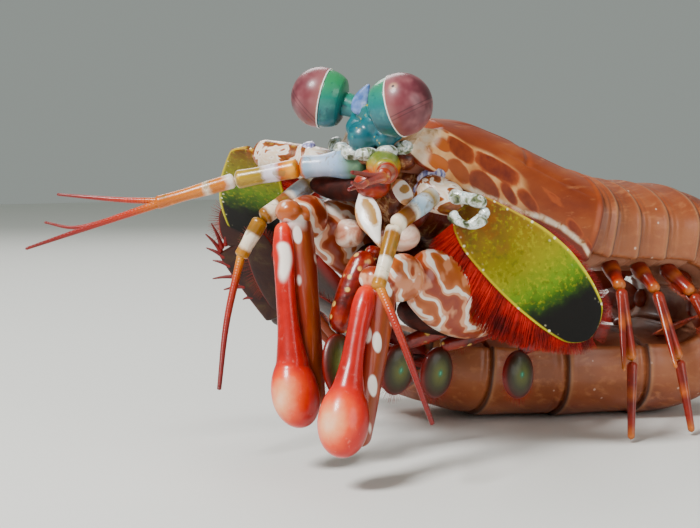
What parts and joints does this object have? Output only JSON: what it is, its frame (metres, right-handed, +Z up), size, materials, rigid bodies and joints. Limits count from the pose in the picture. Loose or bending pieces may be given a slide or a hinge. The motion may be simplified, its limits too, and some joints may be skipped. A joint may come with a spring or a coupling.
{
  "type": "mantis shrimp",
  "caption": "Life-size peacock mantis shrimp sitting folded over its own tail, claws hanging half open and eyes raised.",
  "frame": {"origin": "middle of the underside of the whole animal's box, on the floor", "axes": "+Z up; +Y runs back along the body, which is the animal's longest way; the face looks towards -Y and the animal's left is +X"},
  "size_m": [0.0696, 0.1152, 0.0528],
  "materials": {
    "antenna": "satin",
    "antennule": "satin",
    "arm": "satin",
    "belly": "satin",
    "carapace": "satin",
    "claw_red": "gloss",
    "club": "gloss",
    "cornea": "gloss",
    "eye_teal": "satin",
    "face": "satin",
    "leg": "satin",
    "scale": "satin",
    "shell": "satin",
    "swimmeret": "satin",
    "tail": "satin"
  },
  "bodies": {
    "root": {"carapace": "carapace", "thorax_5": "shell", "thorax_6": "shell", "thorax_7": "shell", "thorax_8": "shell", "abdomen_1": "shell", "abdomen_2": "shell", "abdomen_3": "shell", "abdomen_4": "shell", "abdomen_5": "shell", "abdomen_6": "shell", "eye_base": "eye_teal", "rostral_plate": "carapace", "cornea_left": "cornea", "eyestalk_left": "eye_teal", "cornea_right": "cornea", "eyestalk_right": "eye_teal", "head": "face", "breast": "belly", "telson": "tail", "uropod_left": "tail", "uropod_right": "tail", "claw_merus_left": "arm", "claw_carpus_left": "arm", "claw_propodus_left": "claw_red", "claw_dactyl_left": "club", "claw_merus_right": "arm", "claw_carpus_right": "arm", "claw_propodus_right": "claw_red", "claw_dactyl_right": "club", "antennule_left": "antennule", "antennule_right": "antennule", "antenna_left": "antenna", "antenna_right": "antenna", "antennal_scale_left": "scale", "antennal_scale_right": "scale", "maxilliped_1_left": "arm", "maxilliped_1_right": "arm", "maxilliped_3_left": "arm", "maxilliped_3_right": "arm", "maxilliped_4_left": "arm", "maxilliped_4_right": "arm", "maxilliped_5_left": "arm", "maxilliped_5_right": "arm", "walking_leg_1_left": "leg", "walking_leg_1_right": "leg", "walking_leg_2_left": "leg", "walking_leg_2_right": "leg", "walking_leg_3_left": "leg", "walking_leg_3_right": "leg", "swimmeret_1_left": "swimmeret", "swimmeret_1_right": "swimmeret", "swimmeret_2_left": "swimmeret", "swimmeret_2_right": "swimmeret", "swimmeret_3_left": "swimmeret", "swimmeret_3_right": "swimmeret", "swimmeret_4_left": "swimmeret", "swimmeret_4_right": "swimmeret", "swimmeret_5_left": "swimmeret", "swimmeret_5_right": "swimmeret"}
  },
  "joints": []
}
